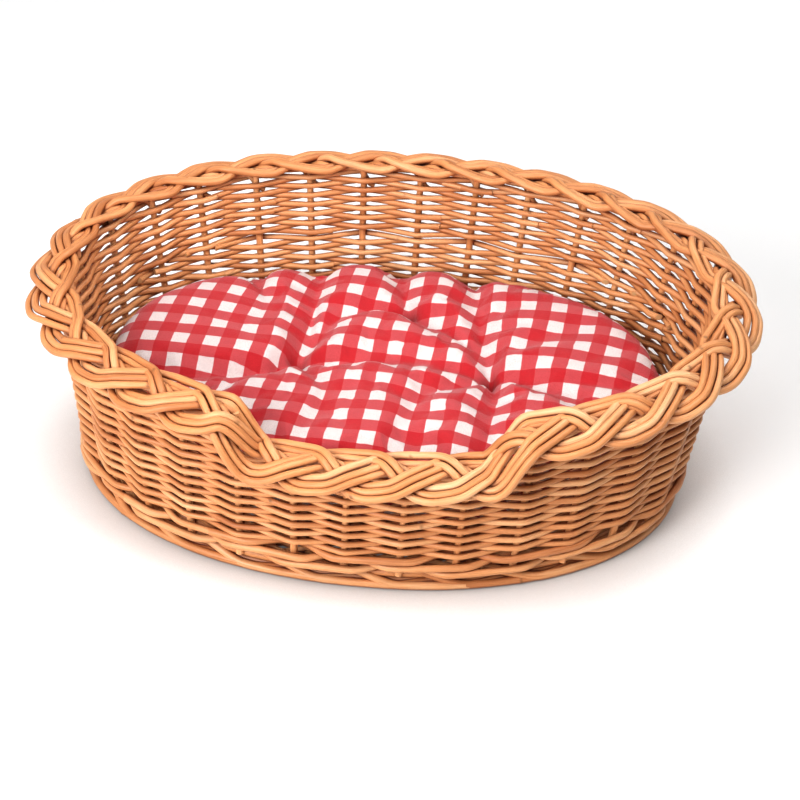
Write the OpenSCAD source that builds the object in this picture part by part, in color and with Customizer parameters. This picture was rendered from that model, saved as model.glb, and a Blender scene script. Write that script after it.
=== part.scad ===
// Oval wicker pet bed basket with a low entrance and a loose tufted cushion.
// Millimetres. +X is to the right along the bed, -Y is the entrance side, the floor is z = 0.
// A place round the oval is a share f of one turn: 0 at the right end, 0.25 at the back,
// 0.5 at the left end and 0.75 at the entrance.

/* [Border] */
// Length of the oval along the middle of the border
rim_length = 554; // [530:1:570]
// Depth of the oval along the middle of the border
rim_depth = 358; // [350:1:370]
// Extra length of the border at its back, as a share
back_widening = 0.02; // [0:0.005:0.03]
// Height of the middle of the border halfway back
rim_height = 168; // [164:1:176]
// Rise of the border for each millimetre towards the back
rim_slope = 0.08; // [0.06:0.01:0.1]
// Downward slope of the flat border towards the outside, in degrees
border_tilt = 24; // [15:1:35]
// Sideways swing of each plaited strand from the middle of the border
strand_swing = 16; // [13:0.5:17]
// Width of one plaited strand
strand_width = 17.5; // [14:0.5:18]
// Thickness of one plaited strand
strand_thickness = 6; // [5:0.5:6.5]

/* [Entrance] */
// Drop of the border at the entrance
entrance_drop = 33; // [28:1:34]
// Where the border leaves its full height, left of the entrance
left_step_top = -101; // [-104:1:-90]
// Where the border reaches its low height, left of the entrance
left_step_low = -72; // [-80:1:-60]
// Where the border reaches its low height, right of the entrance
right_step_low = 100; // [94:1:110]
// Where the border leaves its full height, right of the entrance
right_step_top = 134; // [126:1:150]

/* [Foot] */
// Length of the oval at the foot of the wall
foot_length = 490; // [480:1:500]
// Depth of the oval at the foot of the wall
foot_depth = 318; // [310:1:322]
// How far the foot sits to the left of the border
foot_left = 8; // [0:1:10]
// How far the foot sits towards the entrance
foot_forward = 9; // [4:1:12]
// Squareness of every oval; 2 is a plain ellipse
squareness = 2.08; // [2:0.02:2.2]

/* [Willow] */
// Number of side stakes, a multiple of six
stake_count = 30; // [30:6:36]
// Diameter of a side stake
stake_d = 6.2; // [5.8:0.1:6.6]
// Thickness of a siding rod
rod_d = 4.2; // [4:0.1:4.2]
// Thickness of a wale rod at the bottom of the wall
wale_d = 5.6; // [5:0.1:6]
// Height of the foot border
foot_border_h = 10; // [8:0.5:11]
// Full rows of siding below the packing
lower_rows = 14; // [12:1:14]
// Short rows packed into the back
packing_rows = 5; // [3:1:5]
// Full rows of siding above the packing
middle_rows = 5; // [3:1:5]
// Rows that stop on each side of the entrance
upper_rows = 8; // [6:1:8]

/* [Cushion] */
// Length of the cushion along its seam
cushion_length = 466; // [440:1:470]
// Depth of the cushion along its seam
cushion_depth = 290; // [270:1:294]
// Height of the cushion's seam above the floor
seam_height = 82; // [76:1:88]
// Rise of the cushion's top above its seam
crown = 30; // [24:1:34]
// Thickness of the cover cloth
cloth = 1; // [0.8:0.1:1.2]

/* [Hidden] */
siding_names = [for (row = [1:lower_rows]) str("lower_siding_rod_", row)];
packing_names = [for (row = [1:packing_rows]) str("packing_rod_", row)];
middle_names = [for (row = [1:middle_rows]) str("middle_siding_rod_", row)];
upper_names = [for (row = [1:upper_rows]) str("upper_siding_rod_", row)];
wale_names = [for (rod = [1:3]) str("wale_rod_", rod)];
strand_names = [for (strand = [1:3]) str("border_strand_", strand)];

willow = "#d9a066";
pale_willow = "#e8bb82";
dark_willow = "#b97a45";
red_cloth = "#d8404a";
white_fill = "#f4f1ea";

foot_centre = [-foot_left, -foot_forward];
foot_z = 6;                       // where the straight wall line starts
wall_inset = 9;                   // the wall meets the border this far inside its middle
border_half = strand_thickness + 1.5;
siding_z = 36;                    // middle of the lowest siding rod
wale_z = 18.5;                    // middle of the lowest wale rod
wale_pitch = 6;
base_z = 14;                      // middle of the base sticks
base_half = 5;                    // half the thickness of the woven base
base_inset = 9;                   // gap between the woven base and the foot of the wall
cushion_centre = [-5, -7];
cushion_bottom = base_z + base_half + 3;
arc_steps = 180;

// ---- Ovals ----
function soft_power(value, power) = sign(value) * pow(abs(value), power);
function oval(turn, length, depth) = [
    length / 2 * soft_power(cos(turn), 2 / squareness),
    depth / 2 * soft_power(sin(turn), 2 / squareness)
];

// Even spacing round the border: a table from share of the way round to turn angle.
step_lengths = [for (k = [0:arc_steps - 1])
    norm(oval(360 * (k + 1) / arc_steps, rim_length, rim_depth)
        - oval(360 * k / arc_steps, rim_length, rim_depth))];
run = [for (k = 0, total = 0; k <= arc_steps;
        total = total + (k < arc_steps ? step_lengths[k] : 0), k = k + 1)
    total];
turn_table = [for (k = [0:arc_steps]) [run[k] / run[arc_steps], 360 * k / arc_steps]];
function turn_at(f) = lookup(f - floor(f), turn_table);

function rim_xy(f) = let (p = oval(turn_at(f), rim_length, rim_depth))
    [p.x * (1 + back_widening * 2 * p.y / rim_depth), p.y];
function foot_xy(f) = foot_centre + oval(turn_at(f), foot_length, foot_depth);

// Unit vector pointing out of the oval, level with the floor.
function outward(f) = let (along = rim_xy(f + 0.002) - rim_xy(f - 0.002), size = norm(along))
    [along.y / size, -along.x / size, 0];

// ---- Heights ----
function ease(u) = let (v = max(0, min(1, u))) v * v * (3 - 2 * v);
function entrance(f) = let (p = rim_xy(f)) p.y > 0 ? 0
    : ease((p.x - left_step_top) / (left_step_low - left_step_top))
        * ease((right_step_top - p.x) / (right_step_top - right_step_low));
function full_rim_z(f) = rim_height + rim_slope * rim_xy(f).y;
function rim_z(f) = full_rim_z(f) - entrance_drop * entrance(f);

// Point of the straight, leaning wall at height z.
function wall_point(f, z) = let (
        top = rim_xy(f) - wall_inset * [outward(f).x, outward(f).y],
        share = (z - foot_z) / (full_rim_z(f) - foot_z),
        p = foot_xy(f) + (top - foot_xy(f)) * share)
    [p.x, p.y, z];

// ---- Rows ----
rows = lower_rows + middle_rows + upper_rows;
pack_pitch = rod_d + 0.4;
pack_start = 75;                  // distance behind the middle where the packing begins
pack_full = 160;                  // distance behind the middle where it is all there
function packing(f) = (packing_rows + 0.4) * pack_pitch
    * ease((rim_xy(f).y - pack_start) / (pack_full - pack_start));
function wall_top(f) = full_rim_z(f) + wall_inset * tan(border_tilt)
    - border_half / cos(border_tilt) - rod_d / 2 - 3;
function row_pitch(f) = (wall_top(f) - siding_z - packing(f)) / (rows - 1);
function row_z(f, row) = siding_z + row_pitch(f) * row + (row >= lower_rows ? packing(f) : 0);
function packed_z(f, row) = row_z(f, lower_rows - 1) + pack_pitch * row;

// A rod passes in front of one stake and behind the next.
weave_swing = (stake_d + rod_d) / 2 + 0.1;
function weave(f, row) = (row % 2 == 0 ? 1 : -1) * weave_swing * cos(180 * (f * stake_count - 0.5));
function stake_f(i) = (i + 0.5) / stake_count;

// ---- Sweeps ----
// Six points round a rod's middle: level outward vector across, straight up.
function rod_ring(centre, across, d) = [for (k = [0:5])
    centre + d / 2 * (across * cos(60 * k + 30) - [0, 0, 1] * sin(60 * k + 30))];

module closed_sweep(rings) {
    n = len(rings);
    m = len(rings[0]);
    polyhedron(
        points = [for (ring = rings) each ring],
        faces = [for (i = [0:n - 1], k = [0:m - 1])
            let (next = (i + 1) % n,
                a = i * m + k, b = i * m + (k + 1) % m,
                c = next * m + (k + 1) % m, d = next * m + k)
            each [[a, c, b], [a, d, c]]],
        convexity = 8
    );
}

module open_sweep(rings) {
    n = len(rings);
    m = len(rings[0]);
    sides = [for (i = [0:n - 2], k = [0:m - 1])
        let (a = i * m + k, b = i * m + (k + 1) % m, c = (i + 1) * m + (k + 1) % m, d = (i + 1) * m + k)
        each [[a, c, b], [a, d, c]]];
    start = [[for (k = [0:m - 1]) k]];
    end = [[for (k = [0:m - 1]) n * m - 1 - k]];
    polyhedron(points = [for (ring = rings) each ring], faces = concat(sides, start, end), convexity = 8);
}

// Round stick between two points.
module stick(from, to, d) {
    along = to - from;
    translate(from)
        rotate([0, acos(along.z / norm(along)), atan2(along.y, along.x)])
            cylinder(h = norm(along), d = d, $fn = 24);
}

// ---- Base ----
module foot_border() {
    color(pale_willow)
        linear_extrude(foot_border_h)
            difference() {
                polygon([for (k = [0:89]) foot_centre + oval(4 * k, foot_length + 2, foot_depth + 2)]);
                polygon([for (k = [0:89]) foot_centre + oval(4 * k, foot_length - 16, foot_depth - 16)]);
            }
}

long_stick_count = 5;
long_stick_gap = 10;
long_stick_d = 6;
cross_stick_count = 7;
cross_stick_gap = 32;
cross_stick_d = 8;
stick_margin = 12;                // sticks end this far inside the foot of the wall

module base_long_sticks() {
    color(dark_willow)
        for (i = [0:long_stick_count - 1]) {
            y = (i - (long_stick_count - 1) / 2) * long_stick_gap;
            reach = foot_length / 2 - stick_margin - 2;
            stick([foot_centre.x - reach, foot_centre.y + y, base_z],
                [foot_centre.x + reach, foot_centre.y + y, base_z],
                long_stick_d);
        }
}

module base_cross_sticks() {
    color(dark_willow)
        for (i = [0:cross_stick_count - 1]) {
            x = (i - (cross_stick_count - 1) / 2) * cross_stick_gap;
            share = pow(1 - pow(abs(x) * 2 / foot_length, squareness), 1 / squareness);
            reach = foot_depth / 2 * share - stick_margin;
            stick([foot_centre.x + x, foot_centre.y - reach, base_z],
                [foot_centre.x + x, foot_centre.y + reach, base_z],
                cross_stick_d);
        }
}

module base_weave() {
    color(willow)
        translate([0, 0, base_z - base_half])
            linear_extrude(2 * base_half)
                polygon([for (k = [0:71])
                    foot_centre + oval(5 * k, foot_length - 2 * base_inset, foot_depth - 2 * base_inset)]);
}

// ---- Wall ----
module side_stakes() {
    color(dark_willow)
        for (i = [0:stake_count - 1]) {
            f = stake_f(i);
            stick(wall_point(f, foot_border_h + 0.5), wall_point(f, rim_z(f) - 1), stake_d);
        }
}

// One rod of the three-rod wale: outside two stakes, then inside one.
module wale_rod(rod) {
    swing = (stake_d + wale_d) / 2 + 0.1;
    z = wale_z + (rod - 1) * wale_pitch;
    color(pale_willow)
        closed_sweep([for (i = [0:stake_count - 1])
            let (f = stake_f(i), side = (i + rod) % 3 == 0 ? -swing : swing)
            rod_ring(wall_point(f, z) + side * outward(f), outward(f), wale_d)]);
}

module full_row(row) {
    color(willow)
        closed_sweep([for (i = [0:stake_count - 1])
            let (f = stake_f(i))
            rod_ring(wall_point(f, row_z(f, row)) + weave(f, row) * outward(f), outward(f), rod_d)]);
}

// The nearest place to f where a rod's cut end stands clear of the stakes.
end_clearance = 0.3;              // share of a stake space
function clear_end(f) = let (
        place = f * stake_count - 0.5,
        near = round(place),
        off = place - near)
    abs(off) >= end_clearance ? f : (near + (off < 0 ? -end_clearance : end_clearance) + 0.5) / stake_count;

// Places along an open row: its two ends and every stake between them.
function places(from, to) = let (start = clear_end(from), end = clear_end(to)) concat(
    [start],
    [for (i = [ceil(start * stake_count - 0.5):floor(end * stake_count - 0.5)]) stake_f(i)],
    [end]
);

// Table from x to place along the entrance side.
front_table = [for (k = [0:120]) let (f = 0.5 + k / 240) [rim_xy(f).x, f]];

module upper_row(row) {
    drop = 0.72 * (1 - (row - lower_rows - middle_rows) / (upper_rows - 1));
    from = lookup(right_step_top + 6 - (right_step_top - right_step_low) * drop, front_table);
    to = 1 + lookup(left_step_top - 10 + (left_step_low - left_step_top) * drop, front_table);
    color(willow)
        open_sweep([for (f = places(from, to))
            rod_ring(wall_point(f, row_z(f, row)) + weave(f, row) * outward(f), outward(f), rod_d)]);
}

// Table from height of the packing to place, on the right half of the back.
pack_table = [for (k = [0:60]) let (f = k / 240) [packing(f) + k / 100000, f]];

module packing_rod(row) {
    from = lookup(row * pack_pitch, pack_table) + 0.002;
    color(pale_willow)
        open_sweep([for (f = places(from, 0.5 - from))
            rod_ring(wall_point(f, packed_z(f, row)) + weave(f, lower_rows + row - 1) * outward(f),
                outward(f), rod_d)]);
}

// ---- Border ----
// The border's own directions at a place: along it, across it (down and out) and off its face.
function border_middle(f) = [rim_xy(f).x, rim_xy(f).y, rim_z(f)];
function unit(v) = v / norm(v);
function border_along(f) = unit(border_middle(f + 0.003) - border_middle(f - 0.003));
function border_across(f) = let (
        sloped = outward(f) * cos(border_tilt) - [0, 0, sin(border_tilt)],
        along = border_along(f))
    unit(sloped - (sloped * along) * along);
function border_face(f) = cross(border_across(f), border_along(f)) * -1;

function strand_point(f, strand) = let (phase = 120 * (f * stake_count + strand))
    border_middle(f)
        + strand_swing * cos(phase) * border_across(f)
        + strand_lift * sin(2 * phase) * border_face(f);
strand_lift = 0.6 * strand_thickness;
strand_steps = 4;                 // rings for each stake space

module border_strand(strand) {
    count = stake_count * strand_steps;
    color(pale_willow)
        closed_sweep([for (k = [0:count - 1])
            let (f = k / count,
                middle = strand_point(f, strand),
                along = unit(strand_point(f + 0.001, strand) - strand_point(f - 0.001, strand)),
                off = unit(border_face(f) - (border_face(f) * along) * along),
                side = cross(off, along),
                w = strand_width / 2,
                t = strand_thickness / 2)
            [for (c = [[w, 0.5 * t], [0.6 * w, t], [-0.6 * w, t], [-w, 0.5 * t],
                    [-w, -0.5 * t], [-0.6 * w, -t], [0.6 * w, -t], [w, -0.5 * t]])
                middle + c.x * side + c.y * off]]);
}

// ---- Cushion ----
cushion_around = 36;
// Profile of the cushion's skin, from its middle out to its seam: share of the width, share of the rise.
function top_share(u) = pow(1 - pow(u, 2.6), 0.55);
top_profile = [for (u = [0, 0.35, 0.6, 0.78, 0.9, 0.97]) [u, top_share(u)]];
bottom_profile = [[0, 1], [0.5, 1], [0.84, 0.98], [0.92, 0.86], [0.965, 0.6], [0.99, 0.3]];

function skin_ring(share, z, inset) = [for (k = [0:cushion_around - 1])
    let (p = cushion_centre
        + share * oval(360 * k / cushion_around, cushion_length - 2 * inset, cushion_depth - 2 * inset))
    [p.x, p.y, z]];

// Rings of the half above the seam, seam first, or below it; the last ring shrinks to a small patch.
function half_rings(profile, rise, inset) = [for (k = [len(profile):-1:0])
    k == len(profile) ? skin_ring(1, seam_height, inset)
        : skin_ring(max(profile[k][0], 0.02), seam_height + rise * profile[k][1], inset)];
function reversed(list) = [for (k = [len(list) - 1:-1:0]) list[k]];

top_outer = half_rings(top_profile, crown, 0);
top_inner = half_rings(top_profile, crown - cloth, cloth);
bottom_drop = cushion_bottom + 0.3 - seam_height;
bottom_outer = half_rings(bottom_profile, bottom_drop, 0);
bottom_inner = half_rings(bottom_profile, bottom_drop + cloth, cloth);

// A panel is a thin shell, open at the seam; the cutting shape runs on past the seam.
past_seam = 1;
module cushion_top_panel() {
    color(red_cloth)
        difference() {
            open_sweep(top_outer);
            open_sweep(concat([skin_ring(1, seam_height - past_seam, cloth)], top_inner));
        }
}

module cushion_bottom_panel() {
    color(red_cloth)
        difference() {
            open_sweep(reversed(bottom_outer));
            open_sweep(concat(reversed(bottom_inner), [skin_ring(1, seam_height + past_seam, cloth)]));
        }
}

module cushion_filling() {
    color(white_fill)
        open_sweep(concat(reversed(bottom_inner), [for (k = [1:len(top_inner) - 1]) top_inner[k]]));
}

// Tufting ties, pulled tight between the two panels inside the filling.
tie_places = [[-71, -10], [95, -10], [12, 66]];
tie_d = 2;
module cushion_ties() {
    color(white_fill)
        for (place = tie_places)
            stick([cushion_centre.x + place.x, cushion_centre.y + place.y, cushion_bottom + cloth + 2.5],
                [cushion_centre.x + place.x, cushion_centre.y + place.y, seam_height + crown * 0.5], tie_d);
}

foot_border();
base_long_sticks();
base_cross_sticks();
base_weave();
side_stakes();
for (k = [0:2]) wale_rod(k + 1);
for (k = [0:lower_rows - 1]) full_row(k);
for (k = [0:packing_rows - 1]) packing_rod(k + 1);
for (k = [0:middle_rows - 1]) full_row(lower_rows + k);
for (k = [0:upper_rows - 1])
    upper_row(lower_rows + middle_rows + k);
for (k = [0:2]) border_strand(k);
cushion_bottom_panel();
cushion_top_panel();
cushion_filling();
cushion_ties();
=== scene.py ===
"""Wicker pet bed basket: willow rods woven one by one, and a gingham cushion blown up as cloth."""
import math

import bpy
import numpy as np
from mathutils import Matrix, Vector
from mathutils.geometry import delaunay_2d_cdt


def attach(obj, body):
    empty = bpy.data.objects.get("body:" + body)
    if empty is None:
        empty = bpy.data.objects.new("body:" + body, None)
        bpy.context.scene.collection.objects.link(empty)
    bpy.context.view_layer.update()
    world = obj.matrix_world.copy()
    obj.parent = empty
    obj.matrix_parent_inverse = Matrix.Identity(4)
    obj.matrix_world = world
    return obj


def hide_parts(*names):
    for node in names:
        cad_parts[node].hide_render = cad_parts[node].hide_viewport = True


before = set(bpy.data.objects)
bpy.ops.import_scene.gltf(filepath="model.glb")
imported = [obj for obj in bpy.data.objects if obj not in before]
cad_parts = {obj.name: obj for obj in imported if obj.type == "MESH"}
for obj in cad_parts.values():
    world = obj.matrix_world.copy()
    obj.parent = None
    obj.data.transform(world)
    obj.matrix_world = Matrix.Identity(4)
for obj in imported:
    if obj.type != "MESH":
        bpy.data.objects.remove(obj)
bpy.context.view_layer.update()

MM = 0.001
TAU = 2 * math.pi
UP = np.array([0.0, 0.0, 1.0])

# ---- Sizes in mm: the CAD's, unless a line says otherwise ----
# A place round the oval is a share f of one turn: 0 at the right end, 0.25 at the back, 0.5 at the
# left end and 0.75 at the entrance.
RIM_LENGTH, RIM_DEPTH = 554.0, 358.0
BACK_WIDENING = 0.02
RIM_HEIGHT, RIM_SLOPE = 168.0, 0.08
BORDER_TILT = math.radians(24)
BACK_TILT, BACK_FULL = math.radians(16), 140      # the visual border eases to this tilt by 140 mm back
STRAND_SWING = 17.0                               # 16 in the CAD
STRAND_LIFT = 3.3                                 # 3.6 in the CAD
BORDER_HALF = 7.5                                 # half the thickness of the border
TOP_GAP = 0.6                                     # between it and the top row; 3 in the CAD
ENTRANCE_DROP = 33.0
LEFT_TOP, LEFT_LOW, RIGHT_LOW, RIGHT_TOP = -101.0, -72.0, 100.0, 134.0
FOOT_LENGTH, FOOT_DEPTH = 490.0, 318.0
FOOT_CENTRE = np.array([-8.0, -9.0])
SQUARENESS = 2.08
STAKES = 30
STAKE_D, ROD_D = 6.2, 4.2
WEAVER_D, WALE_D = 4.9, 6.2                       # thicker than the CAD's siding and wale rods
LOWER_ROWS, PACKING_ROWS, MIDDLE_ROWS, UPPER_ROWS = 14, 5, 5, 8
FULL_ROWS = LOWER_ROWS + MIDDLE_ROWS
ROWS = FULL_ROWS + UPPER_ROWS
PACK_PITCH = ROD_D + 0.4
PACK_START, PACK_FULL = 75, 160
FOOT_Z, WALL_INSET = 6.0, 9.0
SIDING_Z, WALE_Z, WALE_PITCH = 36.0, 18.5, 6.0
BASE_Z = 14.0
CUSHION_LENGTH, CUSHION_DEPTH = 466.0, 290.0
CUSHION_CENTRE = np.array([-5.0, -7.0])
SEAM_HEIGHT = 82.0
CUSHION_BOTTOM, TOP_LIMIT = 22.4, 119.0           # the CAD cushion is smooth, and fills 22.3 to 112


def ease(u):
    v = np.clip(u, 0, 1)
    return v * v * (3 - 2 * v)


def unit(v):
    return v / np.linalg.norm(v, axis=-1, keepdims=True)


def running_length(line):
    """Distance along a line of points, from its first point to each of them."""
    return np.concatenate([[0], np.cumsum(np.linalg.norm(np.diff(line, axis=0), axis=1))])


def oval(turn, length, depth, squareness=SQUARENESS):
    c, s = np.cos(turn), np.sin(turn)
    power = 2 / squareness
    return np.stack([length / 2 * np.sign(c) * np.abs(c) ** power,
                     depth / 2 * np.sign(s) * np.abs(s) ** power], -1)


TURNS = np.linspace(0, TAU, 1441)
RUNS = running_length(oval(TURNS, RIM_LENGTH, RIM_DEPTH))
SHARES = RUNS / RUNS[-1]
SPACING = RUNS[-1] / STAKES                       # from stake to stake, along the border


def turn_at(f):
    return np.interp(np.mod(f, 1.0), SHARES, TURNS)


def rim_xy(f):
    p = oval(turn_at(f), RIM_LENGTH, RIM_DEPTH)
    return np.stack([p[..., 0] * (1 + BACK_WIDENING * 2 * p[..., 1] / RIM_DEPTH), p[..., 1]], -1)


def foot_xy(f):
    return FOOT_CENTRE + oval(turn_at(f), FOOT_LENGTH, FOOT_DEPTH)


def outward(f):
    """Level unit vector pointing out of the oval."""
    a = rim_xy(f + 0.003) - rim_xy(f - 0.003)
    n = unit(np.stack([a[..., 1], -a[..., 0]], -1))
    return np.concatenate([n, np.zeros_like(n[..., :1])], -1)


def entrance(f):
    """1 in the low part of the border, 0 where it has its full height."""
    p = rim_xy(f)
    drop = (ease((p[..., 0] - LEFT_TOP) / (LEFT_LOW - LEFT_TOP))
            * ease((RIGHT_TOP - p[..., 0]) / (RIGHT_TOP - RIGHT_LOW)))
    return np.where(p[..., 1] > 0, 0.0, drop)


def full_rim_z(f):
    return RIM_HEIGHT + RIM_SLOPE * rim_xy(f)[..., 1]


def rim_z(f):
    return full_rim_z(f) - ENTRANCE_DROP * entrance(f)


def wall_point(f, z):
    """Point of the straight, leaning wall at height z."""
    f = np.asarray(f, float)
    z = np.broadcast_to(np.asarray(z, float), f.shape)
    top = rim_xy(f) - WALL_INSET * outward(f)[..., :2]
    share = (z - FOOT_Z) / (full_rim_z(f) - FOOT_Z)
    p = foot_xy(f) + (top - foot_xy(f)) * share[..., None]
    return np.concatenate([p, z[..., None]], -1)


def foot_point(f, z, away):
    """Point at height z, this far outside the foot of the wall."""
    return np.column_stack([foot_xy(f), np.broadcast_to(z, f.shape)]) + np.reshape(away, (-1, 1)) * outward(f)


def packing(f):
    """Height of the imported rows: nothing at the front, all of them at the back."""
    behind = rim_xy(f)[..., 1]
    return (PACKING_ROWS + 0.4) * PACK_PITCH * ease((behind - PACK_START) / (PACK_FULL - PACK_START))


def wall_top(f):
    """Height of the top row, just under the border."""
    return (full_rim_z(f) + WALL_INSET * math.tan(BORDER_TILT)
            - BORDER_HALF / math.cos(BORDER_TILT) - ROD_D / 2 - TOP_GAP)


def row_pitch(f):
    return (wall_top(f) - SIDING_Z - packing(f)) / (ROWS - 1)


def row_z(f, row):
    return SIDING_Z + row_pitch(f) * row + (packing(f) if row >= LOWER_ROWS else 0.0)


def packed_z(f, row):
    return row_z(f, LOWER_ROWS - 1) + PACK_PITCH * row


def stake_f(u):
    """Place of a stake, whose number may have a fraction."""
    return (np.asarray(u, float) + 0.5) / STAKES


def placed(name, data):
    """A new object in the scene."""
    obj = bpy.data.objects.new(name, data)
    bpy.context.scene.collection.objects.link(obj)
    return obj


# ---- Rods ----
KNOT_GAP, KNOT_DRIFT = 70, 30         # between the places for knots, and how far each may move
FIRST_KNOT = 20, 90                   # from the start of a rod
KNOT_CHANCE = 0.55
KNOT_SWELL = 0.13                     # share of the rod's radius
KNOT_LENGTH, STAIN_LENGTH = 2.6, 1.7
WAVER, WAVER_LENGTH = 0.018, 9        # small changes of thickness along a rod
CUT_MIDDLE, CUT_BULGE = 0.35, 0.25    # size of the middle of a cut end, and how far it stands out
CUT_EDGE_MARK, CUT_MARK = 0.75, 1.0


class Wave:
    """A smooth wandering value along the oval, the same every time for one seed."""

    def __init__(self, rng, size, lowest=3, highest=17, count=5):
        self.k = rng.integers(lowest, highest, count)
        self.a = rng.normal(0, size / math.sqrt(count), count)
        self.p = rng.uniform(0, TAU, count)

    def __call__(self, f):
        f = np.asarray(f, float)[..., None]
        return (self.a * np.sin(TAU * self.k * f + self.p)).sum(-1)


class Bundle:
    """Gathers rods into one mesh, with values at each point for the material."""

    def __init__(self, name, seed):
        self.name = name
        self.rng = np.random.default_rng(seed)
        self.verts, self.faces, self.grains, self.values = [], [], [], []
        self.count = 0

    def grow(self, points, grain, tone, cut, knot):
        """Adds rings of points with their values, and returns the number of the first point."""
        first = self.count
        self.verts.append(points.reshape(-1, 3))
        self.grains.append(grain.reshape(-1, 3))
        values = np.broadcast_arrays(tone, cut, knot, points[..., 0])[:3]
        self.values.append(np.stack(values, -1).reshape(-1, 3))
        self.count += len(self.verts[-1])
        return first

    def knotted(self, run, angle, share):
        """Small one-sided swellings where side shoots were, and the stain on each."""
        swell = np.zeros((len(run), len(angle)))
        stain = np.zeros_like(swell)
        places = np.arange(self.rng.uniform(*FIRST_KNOT), run[-1], KNOT_GAP) if share else np.zeros(0)
        places = places + self.rng.uniform(-KNOT_DRIFT, KNOT_DRIFT, len(places))
        for place in places:
            if self.rng.uniform() > KNOT_CHANCE * share:
                continue
            turn = np.clip(np.cos(angle - self.rng.uniform(0, TAU)), 0, 1) ** 2
            swell += KNOT_SWELL * np.exp(-((run - place) / KNOT_LENGTH) ** 2)[:, None] * (0.35 + turn)
            stain += np.exp(-((run - place) / STAIN_LENGTH) ** 2)[:, None] * turn ** 2
        return swell, np.clip(stain, 0, 1)

    def rod(self, path, radius, ref, sides=8, closed=False, tone=None, slant=(0.0, 0.0), knots=1.0):
        """A round rod along path. Its rings are turned towards ref, and slant leans its two cut ends."""
        rng = self.rng
        n = len(path)
        radius = np.broadcast_to(radius, (n,))[:, None]
        tone = rng.uniform(0, 1) if tone is None else tone
        if closed:
            before, after = np.roll(path, 1, 0), np.roll(path, -1, 0)
        else:
            before = np.concatenate([[2 * path[0] - path[1]], path[:-1]])
            after = np.concatenate([path[1:], [2 * path[-1] - path[-2]]])
        along = unit(after - before)
        side = unit(np.cross(along, ref))
        up = np.cross(side, along)
        run = running_length(path)
        angle = TAU * np.arange(sides) / sides
        ca, sa = np.cos(angle), np.sin(angle)
        swell, stain = self.knotted(run, angle, knots)
        size = radius * (1 + swell + WAVER * np.sin(run[:, None] / WAVER_LENGTH + rng.uniform(0, TAU)))
        rings = path[:, None] + size[..., None] * (ca[:, None] * side[:, None] + sa[:, None] * up[:, None])
        if not closed:
            lean = radius * ca
            rings[0] += (slant[0] * lean[0])[:, None] * along[0]
            rings[-1] += (slant[1] * lean[-1])[:, None] * along[-1]
        offset = rng.uniform(-500, 500, 3)        # each rod shows its own part of the grain pattern
        grain = offset + np.stack([np.repeat(run[:, None], sides, 1), radius * ca, radius * sa], -1)
        first = self.grow(rings, grain, tone, 0.0, stain)
        i = np.arange(n if closed else n - 1)[:, None]
        j = (i + 1) % n
        k = np.arange(sides)
        k2 = (k + 1) % sides
        quads = first + np.stack([i * sides + k2, j * sides + k2, j * sides + k, i * sides + k], -1)
        self.faces.extend(quads.reshape(-1, 4).tolist())
        if not closed:
            for end, way in ((0, -1), (n - 1, 1)):
                cap = rings[end]
                middle = path[end] + (cap - path[end]) * CUT_MIDDLE + way * CUT_BULGE * along[end]
                outer = self.grow(cap, grain[end], tone, CUT_EDGE_MARK, 0.0) + k
                inner = self.grow(middle, grain[end], tone, CUT_MARK, 0.0) + k
                sloped = np.stack([outer, np.roll(outer, -1), np.roll(inner, -1), inner], -1)
                self.faces.extend(sloped[:, ::way].tolist())
                self.faces.append(inner[::way].tolist())

    def make(self, body, material, node):
        """Turns the rods into an object that rides on body and replaces the CAD node."""
        mesh = bpy.data.meshes.new(self.name)
        mesh.from_pydata((np.concatenate(self.verts) * MM).tolist(), [], self.faces)
        mesh.polygons.foreach_set("use_smooth", np.ones(len(mesh.polygons), bool))
        grain = mesh.attributes.new("grain", "FLOAT_VECTOR", "POINT")
        grain.data.foreach_set("vector", np.concatenate(self.grains).ravel())
        values = np.concatenate(self.values)
        for index, label in enumerate(("tone", "cut", "knot")):
            item = mesh.attributes.new(label, "FLOAT", "POINT")
            item.data.foreach_set("value", np.ascontiguousarray(values[:, index]))
        mesh.materials.append(material)
        mesh.update()
        obj = placed(self.name, mesh)
        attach(obj, body)
        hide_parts(node)


def kinked(u, sharp=0.996):
    """Triangle wave, +1 at even u and -1 at odd u, with slightly rounded corners."""
    return np.arcsin(sharp * np.cos(math.pi * u)) / math.asin(sharp)


# ---- Materials ----
def nodes_of(name):
    mat = bpy.data.materials.new(name)
    mat.use_nodes = True
    tree = mat.node_tree
    return mat, tree, tree.nodes["Principled BSDF"]


def add(tree, kind, inputs=None, **values):
    """A new node with some of its values and its inputs' values set."""
    node = tree.nodes.new(kind)
    for key, value in values.items():
        setattr(node, key, value)
    set_inputs(node, inputs or {})
    return node


def set_inputs(node, inputs):
    for label, value in inputs.items():
        node.inputs[label].default_value = value


def plug(tree, value, socket):
    """Feeds a socket with another node's output or a plain value."""
    if isinstance(value, bpy.types.NodeSocket):
        tree.links.new(value, socket)
    else:
        socket.default_value = value


def computed(tree, operation, a, b=0.0):
    node = add(tree, "ShaderNodeMath", operation=operation)
    plug(tree, a, node.inputs[0])
    plug(tree, b, node.inputs[1])
    return node.outputs[0]


def ramp(tree, value, stops):
    node = add(tree, "ShaderNodeValToRGB")
    while len(node.color_ramp.elements) < len(stops):
        node.color_ramp.elements.new(0.5)
    for element, (place, colour) in zip(node.color_ramp.elements, stops):
        element.position = place
        element.color = (*colour, 1)
    tree.links.new(value, node.inputs["Fac"])
    return node.outputs["Color"]


def mixed(tree, blend, factor, a, b):
    node = add(tree, "ShaderNodeMix", data_type="RGBA", blend_type=blend)
    for label, value in (("Factor", factor), ("A", a), ("B", b)):
        plug(tree, value, node.inputs[label])
    return node.outputs["Result"]


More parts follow.
